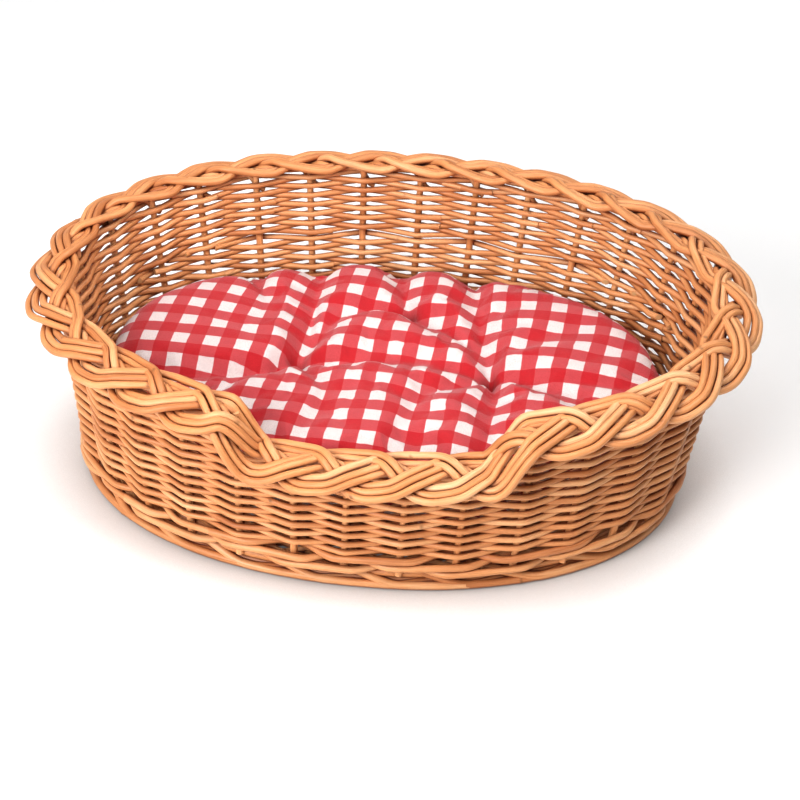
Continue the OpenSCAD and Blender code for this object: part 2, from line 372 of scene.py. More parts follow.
def noise(tree, vector, scale, detail=3.0, rough=0.55):
    node = add(tree, "ShaderNodeTexNoise", {"Scale": scale, "Detail": detail, "Roughness": rough})
    tree.links.new(vector, node.inputs["Vector"])
    return node.outputs["Fac"]


def mapped(tree, vector, label, factors):
    node = add(tree, "ShaderNodeMapping", {label: factors})
    tree.links.new(vector, node.inputs["Vector"])
    return node.outputs["Vector"]


def span(tree, value, low, high, to_low=0.0, to_high=1.0):
    limits = {"From Min": low, "From Max": high, "To Min": to_low, "To Max": to_high}
    node = add(tree, "ShaderNodeMapRange", limits)
    tree.links.new(value, node.inputs["Value"])
    return node.outputs["Result"]


def attribute(tree, name, output="Fac"):
    return add(tree, "ShaderNodeAttribute", attribute_name=name).outputs[output]


def openness(tree, distance, samples):
    """1 in the open, 0 deep in a gap, as seen within this distance in metres; the materials paint shade with
    it.
    """
    return add(tree, "ShaderNodeAmbientOcclusion", {"Distance": distance}, samples=samples).outputs["AO"]


def roughen(tree, shader, height, strength):
    bump = add(tree, "ShaderNodeBump", {"Strength": strength, "Distance": 0.0004})
    tree.links.new(height, bump.inputs["Height"])
    tree.links.new(bump.outputs["Normal"], shader.inputs["Normal"])


WHITE = (1.0, 1.0, 1.0)
KNOT_BROWN = (0.16, 0.060, 0.018, 1)
CUT_PALE = (0.52, 0.34, 0.17, 1)
PAINTED_GAP_SHADE = (0.28, 0.055, 0.012)


def willow(name, pale, mid, deep, shade_free_at=0.66):
    """Peeled willow: tone by rod, streaks along the rod, darker patches, knots, pale cut ends, and painted
    shade deep in the gaps.
    """
    mat, tree, shader = nodes_of(name)
    grain = attribute(tree, "grain", "Vector")
    patches = noise(tree, mapped(tree, grain, "Scale", (0.012, 0.05, 0.05)), 1.0, 3.0, 0.6)
    streaks = noise(tree, mapped(tree, grain, "Scale", (0.03, 1.3, 1.3)), 1.0, 4.0, 0.6)
    fine = noise(tree, mapped(tree, grain, "Scale", (0.25, 4.0, 4.0)), 1.0, 3.0, 0.6)
    depth = computed(tree, "ADD", span(tree, attribute(tree, "tone"), 0, 1, -0.24, 0.24),
                     span(tree, patches, 0.25, 0.75, 0.22, 0.78))
    shown = ramp(tree, depth, ((0.05, pale), (0.48, mid), (1.0, deep)))
    shown = mixed(tree, "MULTIPLY", 0.75, shown,
                  ramp(tree, streaks, ((0.30, (0.74, 0.60, 0.47)), (0.52, (1.03, 1.03, 1.03)))))
    shown = mixed(tree, "MULTIPLY", 0.6, shown,
                  ramp(tree, fine, ((0.33, (0.88, 0.82, 0.76)), (0.5, WHITE))))
    shown = mixed(tree, "MIX", span(tree, attribute(tree, "knot"), 0.25, 0.8, 0.0, 0.75), shown, KNOT_BROWN)
    shown = mixed(tree, "MIX", span(tree, attribute(tree, "cut"), 0.70, 1.0, 0.0, 0.8), shown, CUT_PALE)
    # painted shade: deep in the gaps between the rods, where little light reaches, the colour is darkened to
    # a deep brown
    shown = mixed(tree, "MULTIPLY", 1.0, shown,
                  ramp(tree, openness(tree, 0.012, 4), ((0.05, PAINTED_GAP_SHADE), (shade_free_at, WHITE))))
    tree.links.new(shown, shader.inputs["Base Color"])
    tree.links.new(span(tree, streaks, 0.3, 0.7, 0.54, 0.38), shader.inputs["Roughness"])
    set_inputs(shader, {"Specular IOR Level": 0.42, "Coat Weight": 0.08, "Coat Roughness": 0.35})
    roughen(tree, shader, computed(tree, "ADD", streaks, fine), 0.28)
    return mat


SIDING = willow("siding_willow", (0.78, 0.46, 0.24), (0.66, 0.302, 0.122), (0.42, 0.140, 0.044))
BORDER = willow("border_willow", (0.80, 0.51, 0.29), (0.655, 0.30, 0.120), (0.41, 0.135, 0.040))
# the stakes get less painted shade in the gaps between the rods than the siding does
STAKE = willow("stake_willow", (0.86, 0.50, 0.255), (0.76, 0.365, 0.155), (0.54, 0.205, 0.070),
               shade_free_at=0.30)

# ---- Wall ----
ROD_STEP = 3.6                        # from ring to ring along a rod in the wall
PLAIN_PITCH = 4.35                    # rods are a little thicker where the rows are further apart
WEAVE_SWING = (STAKE_D + WEAVER_D) / 2 - 0.5      # siding rods press half a millimetre into the stakes
END_REACH = 0.75                      # stake spaces over which a rod's end turns in or out
TAIL = 0.42                           # stake spaces that a rod starts before its first stake
OVERLAP = 1.14                        # stake spaces that the two rods of a full row run side by side
STEP_SHARE = 0.72                     # share of the entrance's steps that the lowest upper row runs into
RIGHT_MARGIN, LEFT_MARGIN = 6, 5      # and the highest one ends this far before the steps
WALE_SWING = (STAKE_D + WALE_D) / 2 - 0.3
WALE_LIFT, WALE_TWIST = 2.3, 1.1      # a wale rod rises as it goes behind a stake
STAKE_FOOT = 13.0                     # height of the lower ends of the stakes
STAKE_TILT = 0.0006                   # usual lean along the wall, as a share of the oval for 100 mm up
STAKE_BEND, STAKE_BEND_LENGTH = 0.35, 17
LEAN = Wave(np.random.default_rng(11), 0.55, 2, 11)     # neighbouring rows wander up and down together
# How far each stake has wandered along the wall, as a share of a stake space.
SHIFTS = np.array([np.random.default_rng(500 + i).uniform(-0.045, 0.045) for i in range(STAKES)])


def wandered(u):
    """Stake number, with fractions, to place round the oval, following the stakes' small shifts."""
    near = np.floor(u).astype(int)
    part = u - near
    return stake_f(u + SHIFTS[near % STAKES] * (1 - part) + SHIFTS[(near + 1) % STAKES] * part)


def weaver(bundle, first, last, side, height, own, thick, thin, ends):
    """One rod woven from stake place first to last; ends moves its two ends out of the wall or in."""
    u = np.linspace(first, last, max(4, int((last - first) * SPACING / ROD_STEP)))
    f = wandered(u)
    away = side * WEAVE_SWING * kinked(u)
    for start, push in zip((first, last), ends):
        away = away + push * np.clip(1 - np.abs(u - start) / END_REACH, 0, 1) ** 2
    path = wall_point(f, height(f) + LEAN(f) + own(f)) + away[:, None] * outward(f)
    size = np.interp(u, [first, last], [thick, thin]) / 2 * np.clip(row_pitch(f) / PLAIN_PITCH, 0.97, 1.14)
    slant = bundle.rng.uniform(-0.9, 0.9), bundle.rng.uniform(-0.9, 0.9)
    bundle.rod(path, size, UP, slant=slant)


def weave_side(row):
    """Which side of the even stakes a row passes: 1 outside, -1 inside."""
    return 1 if row % 2 == 0 else -1


def make_stakes():
    bundle = Bundle("side_stakes", 21)
    for i in range(STAKES):
        f = float(wandered(np.array([float(i)]))[0])
        z = np.linspace(STAKE_FOOT, float(rim_z(f)) + 1.0, 34)
        leaning = f + bundle.rng.normal(0, STAKE_TILT) * (z - 20) / 100
        bend = STAKE_BEND * np.sin(z / STAKE_BEND_LENGTH + i)
        path = wall_point(leaning, z) + bend[:, None] * outward(leaning)
        radius = np.linspace(STAKE_D + 0.1, STAKE_D - 0.5, len(z)) / 2
        bundle.rod(path, radius, outward(leaning), knots=0.6)
    bundle.make("basket", STAKE, "side_stakes")


def make_wale():
    """Three thick rods twisted round the foot of the wall: outside two stakes, then inside one."""
    for rod in range(3):
        name = f"wale_rod_{rod + 1}"
        bundle = Bundle(name, 31 + rod)
        wobble = Wave(bundle.rng, 0.35)
        for half in (0, 1):
            first = rod * 2.0 + STAKES / 2 * half + 0.45
            last = first + STAKES / 2 + 0.6
            u = np.arange(first, last, ROD_STEP / SPACING)
            near = np.floor(u).astype(int)
            here, there = (np.where((stake + rod + 1) % 3 == 0, -1.0, 1.0) for stake in (near, near + 1))
            bend = 0.5 - 0.5 * np.cos(math.pi * np.clip((u - near - 0.08) / 0.84, 0, 1))
            side = here * (1 - bend) + there * bend
            f = wandered(u)
            z = (WALE_Z + WALE_PITCH * rod + WALE_LIFT * (1 - side) / 2 + wobble(f)
                 + WALE_TWIST * np.sin(TAU * (u + rod) / 3))
            path = wall_point(f, z) + (WALE_SWING * side)[:, None] * outward(f)
            radius = np.interp(u, [first, last], [WALE_D + 0.5, WALE_D - 0.7]) / 2
            bundle.rod(path, radius, UP, slant=(0.6, -0.6))
        bundle.make("basket", SIDING, name)


def row_name(row):
    if row < LOWER_ROWS:
        return f"lower_siding_rod_{row + 1}"
    if row < FULL_ROWS:
        return f"middle_siding_rod_{row - LOWER_ROWS + 1}"
    return f"upper_siding_rod_{row - FULL_ROWS + 1}"


def weave_full_row(bundle, row, own):
    """Two tapering rods, each half way round, whose cut ends overlap inside the basket."""
    half = STAKES // 2
    begin = round(row * 7 % STAKES + bundle.rng.uniform(-0.1, 0.1))
    for start in (begin, begin + half):
        inside = weave_side(row) * weave_side(start) < 0
        first = start + (0.0 if inside else 1.0) - TAIL
        weaver(bundle, first, first + half + OVERLAP, weave_side(row), lambda f: row_z(f, row), own,
               WEAVER_D + 0.4, WEAVER_D - 0.4, (-1.5, -1.2))


def weave_upper_row(bundle, row, own):
    """Two rods from one side of the entrance round the back to the other, ending along its steps."""
    drop = STEP_SHARE * (1 - (row - FULL_ROWS) / (UPPER_ROWS - 1))
    ends_x = (RIGHT_TOP + RIGHT_MARGIN - (RIGHT_TOP - RIGHT_LOW) * drop,
              LEFT_TOP - LEFT_MARGIN + (LEFT_LOW - LEFT_TOP) * drop)
    front = np.linspace(0.5, 1.0, 721)
    right, left = np.interp(ends_x, rim_xy(front)[:, 0], front)
    first, last = (right - 1) * STAKES - 0.5, left * STAKES - 0.5
    middle = round((first + last) / 2 + bundle.rng.integers(-4, 5)) + 0.1
    for start, end, ends in ((first, middle + 0.5, (-2.0, -1.2)), (middle - 0.4, last, (-1.2, -2.0))):
        weaver(bundle, start, end, weave_side(row), lambda f: row_z(f, row), own,
               WEAVER_D + 0.4, WEAVER_D - 0.3, ends)


def make_rows():
    for row in range(ROWS):
        bundle = Bundle(row_name(row), 100 + row)
        own = Wave(bundle.rng, 0.28, 5, 23)
        weave = weave_full_row if row < FULL_ROWS else weave_upper_row
        weave(bundle, row, own)
        bundle.make("basket", SIDING, bundle.name)


def make_packing():
    """Short rods at the back, which bring the rows above them up with the border."""
    right_back = np.linspace(0, 0.25, 241)
    for row in range(1, PACKING_ROWS + 1):
        bundle = Bundle(f"packing_rod_{row}", 300 + row)
        own = Wave(bundle.rng, 0.25, 5, 23)
        start = np.interp(row * PACK_PITCH, packing(right_back), right_back) + 0.002
        weaver(bundle, start * STAKES - 0.9, (0.5 - start) * STAKES - 0.1, weave_side(LOWER_ROWS + row - 1),
               lambda f: packed_z(f, row), own, WEAVER_D + 0.3, WEAVER_D - 0.2, (-3.0, -3.0))
        bundle.make("basket", SIDING, bundle.name)


# ---- Foot border ----
FOOT_RODS = 22
FOOT_ROD_REACH = 2.5                              # each rod runs this many times their spacing
FOOT_ROD_TOP, FOOT_ROD_DROP = 15.3, 11.1          # height of a rod's start, and how far it comes down
FOOT_ROD_IN, FOOT_ROD_OUT, FOOT_ROD_BACK = -4.0, 6.2, 9.0       # in, then out, and back in at its end
DOWN_BY, BACK_FROM = 0.34, 0.72                   # shares of a rod's length
# Hidden rings that close the gap behind the rods: distance inside the foot, height and diameter.
FILLER_RINGS = ((3.6, 12.0, 6.8), (5.2, 4.3, 7.8), (10.0, 13.0, 6.6))


def make_foot():
    """Thick rods laid round the foot: each comes from inside, slopes down and runs along the floor."""
    bundle = Bundle("foot_border", 41)
    rng = bundle.rng
    step = STAKES / FOOT_RODS
    for i in range(FOOT_RODS):
        start = i * step + rng.uniform(-0.12, 0.12)
        length = FOOT_ROD_REACH * step + rng.uniform(-0.1, 0.1)
        t = np.linspace(0, 1, 60)
        down = ease(t / DOWN_BY)
        back = ease((t - BACK_FROM) / (1 - BACK_FROM))
        z = FOOT_ROD_TOP - FOOT_ROD_DROP * down + 0.4 * back
        away = FOOT_ROD_IN + FOOT_ROD_OUT * down - FOOT_ROD_BACK * back
        path = foot_point(stake_f(start + t * length), z, away)
        d = rng.uniform(7.0, 7.8)
        radius = np.linspace(d, d - 0.6, len(t)) / 2
        bundle.rod(path, radius, UP, slant=(0.8, 0.3), tone=rng.uniform(0.2, 1.0))
    f = np.linspace(0, 1, 420, endpoint=False)
    for inset, z, d in FILLER_RINGS:
        bundle.rod(foot_point(f, z, -inset), d / 2, UP, closed=True, tone=rng.uniform(0.6, 1.0))
    bundle.make("basket", BORDER, "foot_border")


# ---- Plaited border ----
PERIOD = 3.0                          # a strand repeats every three stakes
BORDER_LIFE = 9.7                     # stake spaces that a rod runs for
ROD_GAP = 5.9                         # between the middles of the rods in one strand
STRAND_START = 0.95
BORDER_ROD_STEP = 3.0                 # from ring to ring along a rod
RISE_OUT = 16                         # height over which a rod comes up beside its stake
ABOVE_WALL, OFF_WALL = 4.6, 1.5       # where it then lies: above the top row, and out from the wall
JOIN_START, JOIN_LENGTH = 0.5, 0.75   # stake spaces from its start until it turns into the plait
SINK_AGE, SINK = 3.05, 3.0            # its end dips into the plait
ARCH = 0.9                            # the middle rod of a strand lies this much higher than the others
# A rod's place in its strand (-1 inner, 1 outer) and its diameter, by age in periods.
PLACE_BY_AGE = (0, 0.9, 1.25, 1.9, 2.25, 3.4), (-1, -1, 0, 0, 1, 1)
SIZE_BY_AGE = (0, 0.25, 0.45, 3.4), (5.2, 5.6, 6.6, 5.6)


def blurred_cycle(places, values, blur, count=1024):
    """A repeating line through the given points with its corners rounded, as a table over one period."""
    line = np.interp(np.arange(count) / count * PERIOD, places, values, period=PERIOD)
    waves = np.fft.rfftfreq(count, PERIOD / count)
    return np.fft.irfft(np.fft.rfft(line) * np.exp(-2 * (math.pi * waves * blur) ** 2), count)


# ACROSS is where a strand lies over the width of the band (1 outer edge, -1 inner edge): it goes
# steeply from the inner edge to the outer one and comes back slowly. OVER_UNDER is whether it passes
# over or under the other strands.
ACROSS = blurred_cycle((0.09, 0.50, 0.72, 1.12, 2.02, 2.2, 2.5, 2.78, 2.96),
                       (-0.50, 0.68, 0.89, 0.84, -0.62, -0.82, -0.86, -0.86, -0.80), 0.075)
OVER_UNDER = blurred_cycle((0.11, 0.40, 0.64, 1.0, 1.41, 1.8, 2.15, 2.48, 2.8),
                           (1.4, -1.5, -1.0, 0.25, 1.25, 0.45, -1.4, -0.8, 0.3), 0.05)


def looked_up(table, x):
    places = np.arange(len(table) + 1) / len(table) * PERIOD
    return np.interp(np.mod(x, PERIOD), places, np.append(table, table[0]))


def border_middle(f):
    return np.concatenate([rim_xy(f), rim_z(f)[..., None]], -1)


def border_frame(f):
    """The border's own directions: across it, down and out, and off its face."""
    along = unit(border_middle(f + 0.004) - border_middle(f - 0.004))
    tilt = (BORDER_TILT + (BACK_TILT - BORDER_TILT) * ease(rim_xy(f)[..., 1] / BACK_FULL))[..., None]
    sloped = outward(f) * np.cos(tilt) - UP * np.sin(tilt)
    across = unit(sloped - (sloped * along).sum(-1, keepdims=True) * along)
    return across, np.cross(across, along)


def strand_line(f, strand):
    """Middle of one strand of the plait."""
    cycle = f * STAKES + strand + STRAND_START
    across, face = border_frame(f)
    return (border_middle(f) + (STRAND_SWING * looked_up(ACROSS, cycle))[..., None] * across
            + (STRAND_LIFT * looked_up(OVER_UNDER, cycle))[..., None] * face)


def border_rod(bundle, strand, stake):
    """One rod: from beside its stake it joins the strand on the inner side, and ends on the outer side."""
    rng = bundle.rng
    start = stake - 0.15
    u = np.arange(start, start + BORDER_LIFE + rng.uniform(0.2, 0.45), BORDER_ROD_STEP / SPACING)
    f = stake_f(u)
    age = (u - start) / PERIOD
    place = np.interp(age, *PLACE_BY_AGE)
    tangent = unit(strand_line(f + 0.0008, strand) - strand_line(f - 0.0008, strand))
    _, face = border_frame(f)
    off = unit(face - (face * tangent).sum(-1, keepdims=True) * tangent)
    rise = ARCH * np.cos(place * math.pi / 2) + rng.uniform(-0.5, 0.5)
    drift = rng.uniform(-0.6, 0.6) + 0.5 * np.sin(u * rng.uniform(1.5, 3.0) + rng.uniform(0, TAU))
    path = (strand_line(f, strand) + (place * ROD_GAP + drift)[:, None] * np.cross(tangent, off)
            + rise[:, None] * off)
    lying = rim_z(f) - full_rim_z(f) + wall_top(f) + ABOVE_WALL
    on_wall = wall_point(f, lying - RISE_OUT * (1 - ease((u - start) / 0.3))) + OFF_WALL * outward(f)
    joined = ease((u - start - JOIN_START) / JOIN_LENGTH)[:, None]
    path = on_wall * (1 - joined) + path * joined
    path = path - ease((age - SINK_AGE) / 0.2)[:, None] * SINK * off
    radius = np.interp(age, *SIZE_BY_AGE) / 2
    # painted light: the rods are paler towards the entrance, where the border faces the light, on top of each
    # rod's own random tone
    front = ease(-0.2 - rim_xy(stake_f(stake))[1] / 150)
    tone = rng.uniform(0.42, 1.0) * (1 - front) + rng.uniform(0.0, 0.6) * front
    bundle.rod(path, radius, off, slant=(0.3, rng.uniform(-1.2, 1.2)), tone=tone)


def make_border():
    for strand in range(3):
        bundle = Bundle(f"border_strand_{strand + 1}", 51 + strand)
        for stake in range(STAKES):
            if (1 - stake) % 3 == strand:
                border_rod(bundle, strand, stake)
        bundle.make("basket", BORDER, bundle.name)


# ---- Base ----
LONG_STICKS_Y = 10.0 * (np.arange(5) - 2)         # places from the middle of the foot
CROSS_STICKS_X = 32.0 * (np.arange(7) - 3)
LONG_STICK_D, CROSS_STICK_D, BASE_ROD_D = 6.0, 7.8, 4.3
LONG_STICK_MARGIN, CROSS_STICK_MARGIN = 14, 12    # from a stick's end to the foot of the wall
BASE_RINGS = 28
INNER_RING = np.array([208.0, 50.0])              # length and depth
OUTER_RING = np.array([FOOT_LENGTH - 9, FOOT_DEPTH - 9])
INNER_SQUARENESS, OUTER_SQUARENESS = 3.6, 2.0
BASE_SWING = 4.6                                  # a woven rod rises and dives this far at the sticks


def stick_crossings(ring):
    """Numbers of the points of a ring of the base that lie at the sticks, in order."""
    marks = set()
    for places, axis in ((CROSS_STICKS_X, 0), (LONG_STICKS_Y, 1)):
        for place in places:
            for side in (1, -1):
                distance = np.abs(ring[:, axis] - place)
                marks.add(int(np.argmin(np.where(np.sign(ring[:, 1 - axis]) == side, distance, np.inf))))
    return sorted(marks)


def make_base():
    long_sticks = Bundle("base_long_sticks", 61)
    reach = FOOT_LENGTH / 2 - LONG_STICK_MARGIN
    for i, place in enumerate(LONG_STICKS_Y):
        x = np.linspace(-reach, reach, 60) + FOOT_CENTRE[0]
        y = FOOT_CENTRE[1] + place + 0.3 * np.sin(x / 40 + i)
        path = np.column_stack([x, y, np.full_like(x, BASE_Z)])
        long_sticks.rod(path, LONG_STICK_D / 2, UP, knots=0.5)
    long_sticks.make("basket", STAKE, "base_long_sticks")
    cross_sticks = Bundle("base_cross_sticks", 62)
    for place in CROSS_STICKS_X:
        share = (1 - abs(2 * place / FOOT_LENGTH) ** SQUARENESS) ** (1 / SQUARENESS)
        reach = FOOT_DEPTH / 2 * share - CROSS_STICK_MARGIN
        y = np.linspace(-reach, reach, 50) + FOOT_CENTRE[1]
        x = np.full_like(y, FOOT_CENTRE[0] + place)
        path = np.column_stack([x, y, np.full_like(x, BASE_Z)])
        cross_sticks.rod(path, CROSS_STICK_D / 2, UP, knots=0.5)
    cross_sticks.make("basket", STAKE, "base_cross_sticks")
    weave = Bundle("base_weave", 63)
    count = 420
    turn = np.linspace(0, TAU, count, endpoint=False)
    for k in range(BASE_RINGS):
        share = k / (BASE_RINGS - 1)
        length, depth = INNER_RING + (OUTER_RING - INNER_RING) * share
        squareness = OUTER_SQUARENESS + (INNER_SQUARENESS - OUTER_SQUARENESS) * (1 - share)
        ring = oval(turn, length, depth, squareness)
        marks = stick_crossings(ring)
        numbers = np.arange(count)
        numbers = np.where(numbers < marks[0], numbers + count, numbers)
        crossing = np.interp(numbers, marks + [marks[0] + count], np.arange(len(marks) + 1))
        z = BASE_Z + weave_side(k) * BASE_SWING * kinked(crossing, 0.93)
        weave.rod(np.column_stack([ring + FOOT_CENTRE, z]), BASE_ROD_D / 2, UP, closed=True, sides=6)
    weave.make("basket", SIDING, "base_weave")


make_stakes()
make_wale()
make_rows()
make_packing()
make_foot()
make_border()
make_base()

# ---- Cushion ----
# Where the cover is pulled down: three tufts, and the creases that run from them, as places from
# the cushion's middle and heights above the floor.
LEFT_TUFT, RIGHT_TUFT, BACK_TUFT = (-71, -10, 86), (95, -10, 86), (12, 66, 94)
TUFTS = np.array([LEFT_TUFT, RIGHT_TUFT, BACK_TUFT], float)
EDGE_CREASES = (                      # these start at the seam behind, and draw it in
    ((-78, 126, 100), (-71, 60, 100), (-69, 24, 94), LEFT_TUFT),
    ((63, 124, 100), (71, 80, 102), (81, 34, 95), RIGHT_TUFT),
    ((-6, 124, 102), (5, 92, 102), BACK_TUFT),
    ((-140, 114, 99), (-124, 83, 107), (-108, 50, 113)),
)
CREASES = EDGE_CREASES + (
    (LEFT_TUFT, (-90, -31, 94), (-122, -46, 99), (-160, -52, 101)),
    (RIGHT_TUFT, (117, -14, 95), (146, -26, 99), (172, -32, 100)),
    (RIGHT_TUFT, (101, -48, 97), (103, -96, 102)),
    (LEFT_TUFT, (-40, -15, 98), (-13, -9, 103), (39, -6, 103), (71, -12, 98), RIGHT_TUFT),
    (LEFT_TUFT, (-60, 24, 98), (-47, 52, 103), (-17, 68, 103), BACK_TUFT),
    (BACK_TUFT, (51, 43, 102), (75, 25, 99), RIGHT_TUFT),
    (RIGHT_TUFT, (65, -34, 101), (48, -45, 104), (39, -63, 106), (38, -92, 109)),
    (LEFT_TUFT, (-53, -36, 103), (-35, -65, 111)),
)
CLOTH_PITCH = 6.0     # between the cloth's points
CLOTH_JITTER = 0.12   # share of the pitch that a point may move, so that no straight folds form
SLACK = 0.09          # how much longer the cover is, away from the creases, than the flat oval
PRESSURE = 7.0
FRAMES = 40
PUFF_TOP = 115.0
PUFF_REACH = 36.0     # from a crease to the full height of the puff beside it
SIDE_REACH = 40.0     # from the seam to the full height
GATHER_REACH = 13.0   # the cover has no slack this near a crease
CREASE_HOLD = 0.55    # share of the pitch within which a crease holds the cover
TUFT_HOLD = 5.5
TOP_SOFTNESS = 6      # the top is rounded off over this height below TOP_LIMIT
PULL, PULL_REACH = 4.5, 22.0          # how far a crease draws the seam in, and how near


def oval_length(length, depth):
    """Distance round an ellipse."""
    return math.pi * (3 * (length + depth) / 2
                      - math.sqrt((3 * length + depth) * (length + 3 * depth)) / 2)


def cloth_grid(length, depth, pitch):
    """A flat oval of near-even triangles: 2D points, triangles and the number of points on the seam."""
    around = int(oval_length(length, depth) / pitch)
    turns = np.linspace(0, TAU, 2881)
    runs = running_length(oval(turns, length, depth))
    edge = oval(np.interp(np.arange(around) / around * runs[-1], runs, turns), length, depth)
    rng = np.random.default_rng(7)
    inside = np.array([length, depth]) * (1 - pitch * 0.75 / (depth / 2))
    points = []
    for row, y in enumerate(np.arange(-depth / 2, depth / 2, pitch * math.sqrt(3) / 2)):
        for x in np.arange(-length / 2, length / 2, pitch):
            place = np.array([x + (row % 2) * pitch / 2, y])
            place = place + rng.uniform(-CLOTH_JITTER, CLOTH_JITTER, 2) * pitch
            if (np.abs(2 * place / inside) ** SQUARENESS).sum() < 1:
                points.append(place)
    every = np.concatenate([edge, np.array(points)])
    edges = [(i, (i + 1) % around) for i in range(around)]
    found = delaunay_2d_cdt([Vector(p) for p in every], edges, [], 1, 1e-4)
    return np.array([tuple(v) for v in found[0]]), np.array(found[2]), around


def near_line(points, line):
    """How far 2D points are from a broken 3D line seen from above, and the line's height nearest to them."""
    line = np.asarray(line, float)
    best, height = np.full(len(points), np.inf), np.zeros(len(points))
    for a, b in zip(line[:-1], line[1:]):
        d = (b - a)[:2]
        t = np.clip(((points - a[:2]) @ d) / (d @ d), 0, 1)
        distance = np.linalg.norm(points - (a[:2] + t[:, None] * d), axis=1)
        closer = distance < best
        best = np.where(closer, distance, best)
        height = np.where(closer, a[2] + t * (b[2] - a[2]), height)
    return best, height


def quarter(t):
    """Profile of a quarter circle, rising from 0 to 1."""
    return np.sqrt(1 - (1 - np.clip(t, 0, 1)) ** 2)


def side_excess(inward, height):
    """How much further a point is from the middle along the cushion's curved side than seen from above."""
    x = np.linspace(0, SIDE_REACH, 200)
    z = height * quarter((SIDE_REACH - x) / SIDE_REACH)
    run = running_length(np.column_stack([x, z]))
    return np.interp(SIDE_REACH - inward, x, run - x)


def held_top(points, inward):
    """Heights of the upper cloth before it is blown up, the points held down and the distance to a crease."""
    crease, sunk = np.full(len(points), np.inf), np.zeros(len(points))
    for line in CREASES:
        distance, height = near_line(points, line)
        sunk = np.where(distance < crease, height, sunk)
        crease = np.minimum(crease, distance)
    held = crease < CLOTH_PITCH * CREASE_HOLD
    puffed = sunk + (PUFF_TOP - sunk) * quarter(crease / PUFF_REACH)
    for tuft in TUFTS:
        near = np.linalg.norm(points - tuft[:2], axis=1) < TUFT_HOLD
        puffed = np.where(near, tuft[2], puffed)
        held |= near
    rounded = SEAM_HEIGHT + (puffed - SEAM_HEIGHT) * quarter(inward / SIDE_REACH)
    return np.where(held, puffed, rounded), held, crease


def blown_up(obj):
    """The object's points, in mm, after pressure has filled it."""
    cloth = obj.modifiers.new("Cloth", "CLOTH")
    s = cloth.settings
    s.quality = 7
    s.mass = 0.25
    s.tension_stiffness = 15
    s.compression_stiffness = 15
    s.shear_stiffness = 6
    s.bending_stiffness = 4.0
    s.vertex_group_shrink = "no_slack"
    s.shrink_min = -SLACK
    s.shrink_max = 0.0
    s.use_pressure = True
    s.uniform_pressure_force = PRESSURE
    s.vertex_group_mass = "held"
    s.pin_stiffness = 1.0
    s.effector_weights.gravity = 0
    cloth.collision_settings.use_collision = False
    for number in range(1, FRAMES + 1):
        bpy.context.scene.frame_set(number)
    shaped = obj.evaluated_get(bpy.context.evaluated_depsgraph_get()).to_mesh()
    local = np.empty(len(shaped.vertices) * 3)
    shaped.vertices.foreach_get("co", local)
    obj.modifiers.remove(cloth)
    obj.vertex_groups.clear()
    bpy.context.scene.frame_set(1)
    return local.reshape(-1, 3) / MM


def trimmed(local, inward):
    """Keeps the blown-up shape within the cushion's sizes, and draws its seam in at the creases."""
    local[:, :2] -= CUSHION_CENTRE
    size = np.ptp(local[:, :2], axis=0)
    z = np.maximum(local[:, 2], CUSHION_BOTTOM)
    start = TOP_LIMIT - TOP_SOFTNESS
    z = np.where(z > start, TOP_LIMIT - TOP_SOFTNESS * np.exp(-(z - start) / TOP_SOFTNESS), z)
    local[:, 2] = z
    local[:, :2] *= np.minimum(1.0, np.array([CUSHION_LENGTH, CUSHION_DEPTH]) / size)
    for line in EDGE_CREASES:
        end = np.array(line[0][:2], float)
        near = np.exp(-((local[:, :2] - end) ** 2).sum(1) / PULL_REACH ** 2)
        near *= np.clip(1.5 - inward / 30, 0, 1)
        local[:, :2] -= (PULL * near)[:, None] * end / np.linalg.norm(end)
    local[:, :2] += CUSHION_CENTRE
    return local


def hold(obj, name, numbers, shares):
    """A new vertex group with a share for each numbered point."""
    group = obj.vertex_groups.new(name=name)
    for number, share in zip(numbers, shares):
        group.add([int(number)], float(share), "REPLACE")


